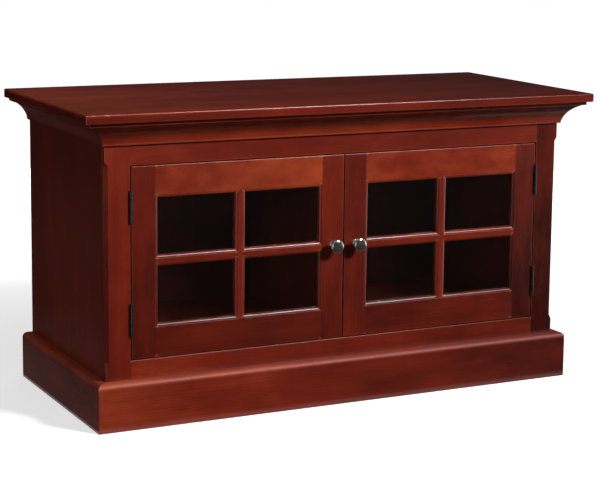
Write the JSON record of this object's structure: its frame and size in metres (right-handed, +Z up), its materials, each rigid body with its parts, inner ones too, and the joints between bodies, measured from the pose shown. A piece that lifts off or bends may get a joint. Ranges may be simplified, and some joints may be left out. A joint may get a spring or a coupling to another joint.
{
  "type": "tv console",
  "caption": "Low media cabinet with two glazed doors on butt hinges, mushroom knobs, a cove crown under an overhanging top and a moulded plinth.",
  "frame": {"origin": "centre of the footprint of the whole object's box, on the floor", "axes": "+Z up, +X to the right of a person facing the doors, the doors face -Y"},
  "size_m": [1.27, 0.571, 0.696],
  "materials": {
    "top_wood": "satin-gloss lacquer over red-brown stained cherry veneer",
    "crown_wood": "satin-gloss lacquer over red-brown stained cherry",
    "plinth_wood": "satin-gloss lacquer over red-brown stained cherry",
    "frame_wood": "satin-gloss lacquer over red-brown stained cherry",
    "door_wood": "satin-gloss lacquer over red-brown stained cherry",
    "bead_wood": "satin lacquer over stained cherry",
    "side_wood": "satin-gloss lacquer over red-brown stained cherry veneer",
    "back_wood": "satin stained plywood",
    "inner_wood": "satin stained cherry veneer",
    "glass": "clear",
    "hinge_metal": "dark bronze",
    "knob_nickel": "satin nickel",
    "screw_steel": "zinc",
    "catch_plastic": "moulded brown"
  },
  "bodies": {
    "case": {"top_panel": "top_wood", "crown_front": "crown_wood", "crown_left": "crown_wood", "crown_right": "crown_wood", "face_stile_left": "frame_wood", "face_stile_right": "frame_wood", "face_rail_top": "frame_wood", "face_rail_bottom": "frame_wood", "side_panel_left": "side_wood", "side_panel_right": "side_wood", "bottom_panel": "inner_wood", "centre_partition": "inner_wood", "back_panel_left": "back_wood", "back_panel_right": "back_wood", "top_stretcher_front": "inner_wood", "top_stretcher_back": "inner_wood", "plinth_front": "plinth_wood", "plinth_left": "plinth_wood", "plinth_right": "plinth_wood", "plinth_back": "inner_wood", "plinth_glue_blocks": "inner_wood", "top_screws": "screw_steel", "magnetic_catches": "catch_plastic", "frame_hinge_screws": "hinge_metal", "left_upper_frame_leaf": "hinge_metal", "left_lower_frame_leaf": "hinge_metal", "right_upper_frame_leaf": "hinge_metal", "right_lower_frame_leaf": "hinge_metal", "left_hinge_pins": "hinge_metal", "right_hinge_pins": "hinge_metal"},
    "left_door": {"left_hinge_stile": "door_wood", "left_lock_stile": "door_wood", "left_top_rail": "door_wood", "left_bottom_rail": "door_wood", "left_upright_bar": "door_wood", "left_crossbars": "door_wood", "left_glass": "glass", "left_glass_beads": "bead_wood", "left_upper_door_leaf": "hinge_metal", "left_lower_door_leaf": "hinge_metal", "left_hinge_screws": "hinge_metal", "left_knob": "knob_nickel", "left_knob_screw": "screw_steel", "left_strike": "screw_steel"},
    "right_door": {"right_hinge_stile": "door_wood", "right_lock_stile": "door_wood", "right_top_rail": "door_wood", "right_bottom_rail": "door_wood", "right_upright_bar": "door_wood", "right_crossbars": "door_wood", "right_glass": "glass", "right_glass_beads": "bead_wood", "right_upper_door_leaf": "hinge_metal", "right_lower_door_leaf": "hinge_metal", "right_hinge_screws": "hinge_metal", "right_knob": "knob_nickel", "right_knob_screw": "screw_steel", "right_strike": "screw_steel"}
  },
  "joints": [
    {"name": "left_door_hinge", "type": "hinge", "parent": "case", "child": "left_door", "pos_m": [-0.5148, -0.2281, 0.363], "axis": [0, 0, -1], "range_deg": [0, 175]},
    {"name": "right_door_hinge", "type": "hinge", "parent": "case", "child": "right_door", "pos_m": [0.5148, -0.2281, 0.363], "axis": [0, 0, 1], "range_deg": [0, 175]}
  ]
}
